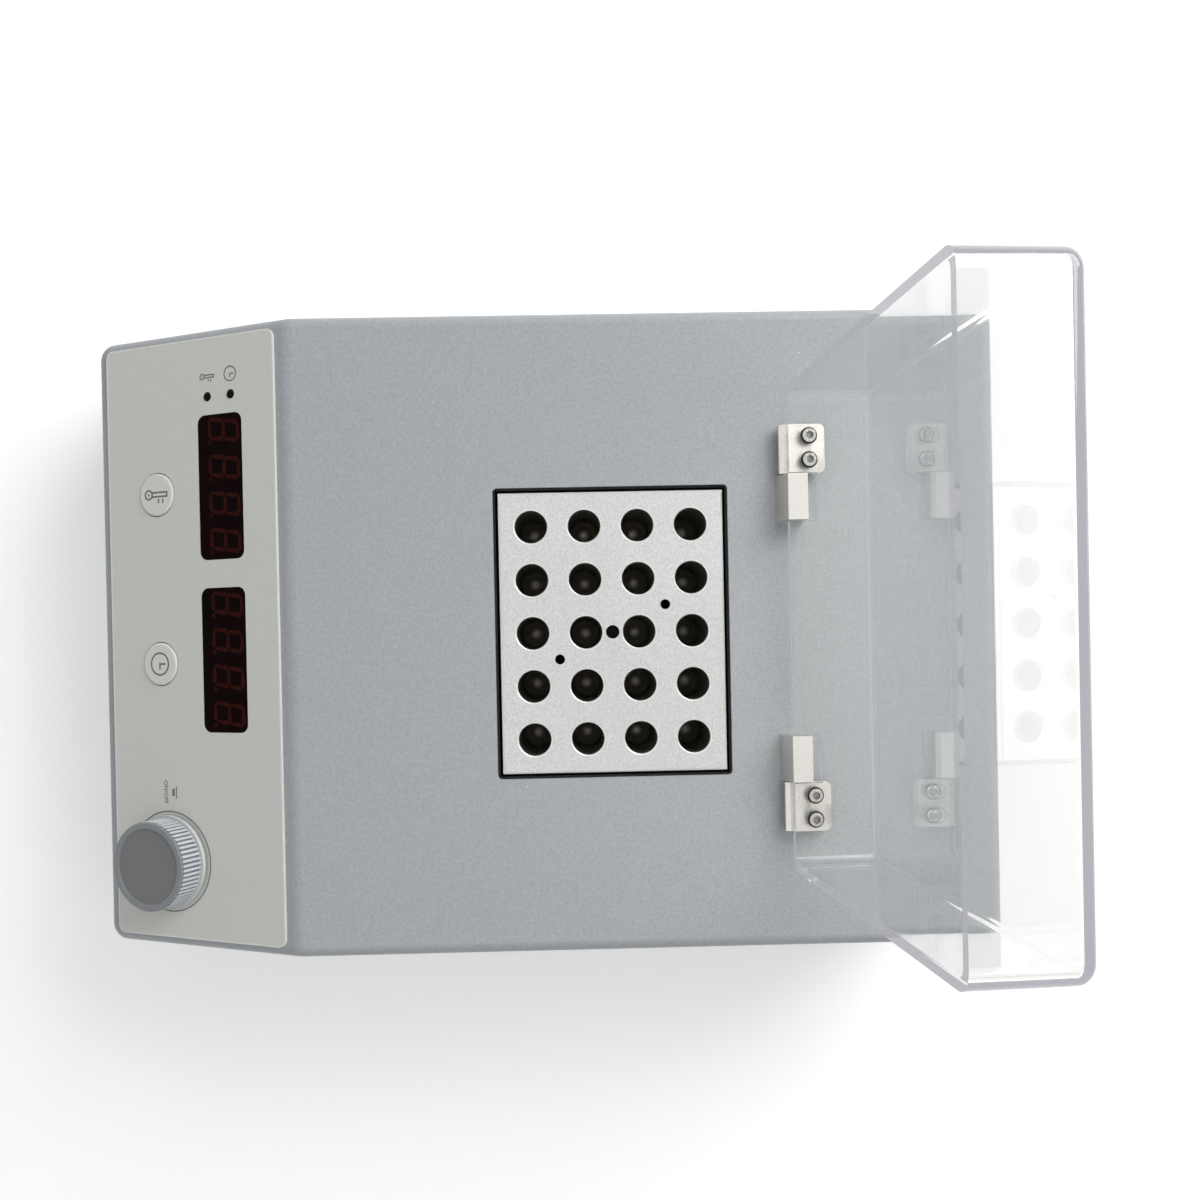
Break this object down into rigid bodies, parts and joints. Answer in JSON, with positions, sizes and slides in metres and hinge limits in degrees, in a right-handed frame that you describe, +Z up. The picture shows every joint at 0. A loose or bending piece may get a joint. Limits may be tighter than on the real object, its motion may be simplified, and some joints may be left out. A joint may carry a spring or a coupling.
{
  "type": "dry bath incubator",
  "caption": "Bench-top dry bath incubator: heated aluminium tube block under a clear hinged lid, sloping control panel with displays, buttons and a turn-and-push knob.",
  "frame": {"origin": "under the middle of the housing, at the level of the bench", "axes": "+X right seen from the front, +Y to the rear, +Z up"},
  "size_m": [0.217, 0.317, 0.2409],
  "materials": {
    "grey_powder_coat": "fine textured powder coat",
    "tray_powder_coat": "fine textured powder coat",
    "overlay_film": "satin printed sheet",
    "display_pane": "dark red tinted pane",
    "display_module": "moulded black",
    "lamp_plastic": "tinted epoxy",
    "button_plastic": "satin",
    "knob_plastic": "satin grey",
    "board_laminate": "solder mask",
    "black_plastic": "moulded black",
    "rubber": "matt",
    "block_aluminium": "bead blasted",
    "plain_aluminium": "milled",
    "zinc_steel": "plated",
    "hinge_nickel": "satin nickel",
    "brass": "plain",
    "ceramic_wool": "fibrous",
    "heater_film": "silicone sheet",
    "clear_acrylic": "clear sheet",
    "copper_winding": "taped winding",
    "glass_tube": "clear"
  },
  "bodies": {
    "casing": {"top_cover": "grey_powder_coat", "base_tray": "tray_powder_coat", "rear_panel": "tray_powder_coat", "rubber_feet": "rubber", "foot_screws": "zinc_steel", "cover_screws": "zinc_steel", "rear_panel_screws": "zinc_steel", "front_overlay": "overlay_film", "heat_window": "display_pane", "timer_window": "display_pane", "heat_display": "display_module", "timer_display": "display_module", "heat_lamp": "lamp_plastic", "timer_lamp": "lamp_plastic", "heat_switch": "black_plastic", "timer_switch": "black_plastic", "control_board": "board_laminate", "board_standoffs": "brass", "board_screws": "zinc_steel", "encoder_body": "black_plastic", "encoder_nut": "brass", "block_liner": "zinc_steel", "heater_plate": "plain_aluminium", "heater_mat": "heater_film", "insulation_base": "ceramic_wool", "insulation_collar": "ceramic_wool", "heater_bracket": "zinc_steel", "heater_screws": "zinc_steel", "bracket_screws": "zinc_steel", "temperature_probe": "zinc_steel", "thermal_cutout": "black_plastic", "inlet_socket": "black_plastic", "inlet_pins": "brass", "inlet_screws": "zinc_steel", "power_board": "board_laminate", "power_standoffs": "brass", "power_screws": "zinc_steel", "transformer": "copper_winding", "heat_sink": "plain_aluminium", "terminal_block": "tray_powder_coat", "capacitor": "black_plastic", "hinge_base_left": "hinge_nickel", "hinge_base_right": "hinge_nickel", "hinge_pins": "zinc_steel", "hinge_base_screws": "zinc_steel"},
    "lid": {"lid": "clear_acrylic", "hinge_leaf_left": "hinge_nickel", "hinge_leaf_right": "hinge_nickel", "lid_screws": "zinc_steel"},
    "block": {"tube_block": "block_aluminium"},
    "heat_key": {"heat_button": "button_plastic"},
    "timer_key": {"timer_button": "button_plastic"},
    "plunger": {"push_plunger": "black_plastic"},
    "dial": {"knob": "knob_plastic", "encoder_shaft": "zinc_steel"},
    "fuse_holder": {"fuse_drawer": "black_plastic", "fuse": "glass_tube"}
  },
  "joints": [
    {"name": "lid_hinge", "type": "hinge", "parent": "casing", "child": "lid", "pos_m": [0, 0.085, 0.0934], "axis": [1, 0, 0], "range_deg": [0, 94.3]},
    {"name": "block_lift", "type": "slide", "parent": "casing", "child": "block", "axis": [0, 0, 1], "range_m": [0, 0.02]},
    {"name": "heat_button_press", "type": "slide", "parent": "casing", "child": "heat_key", "axis": [0, 0.4067, -0.9135], "range_m": [0, 0.0006], "stiffness_N_per_m": 400, "springref_m": -0.002},
    {"name": "timer_button_press", "type": "slide", "parent": "casing", "child": "timer_key", "axis": [0, 0.4067, -0.9135], "range_m": [0, 0.0006], "stiffness_N_per_m": 400, "springref_m": -0.002},
    {"name": "knob_press", "type": "slide", "parent": "casing", "child": "plunger", "axis": [0, 0.4067, -0.9135], "range_m": [0, 0.0006], "stiffness_N_per_m": 1000, "springref_m": -0.002},
    {"name": "knob_turn", "type": "hinge", "parent": "plunger", "child": "dial", "pos_m": [0.078, -0.13187, 0.06824], "axis": [0, -0.4067, 0.9135], "continuous": true},
    {"name": "fuse_drawer_slide", "type": "slide", "parent": "casing", "child": "fuse_holder", "axis": [0, 1, 0], "range_m": [0, 0.02]}
  ]
}
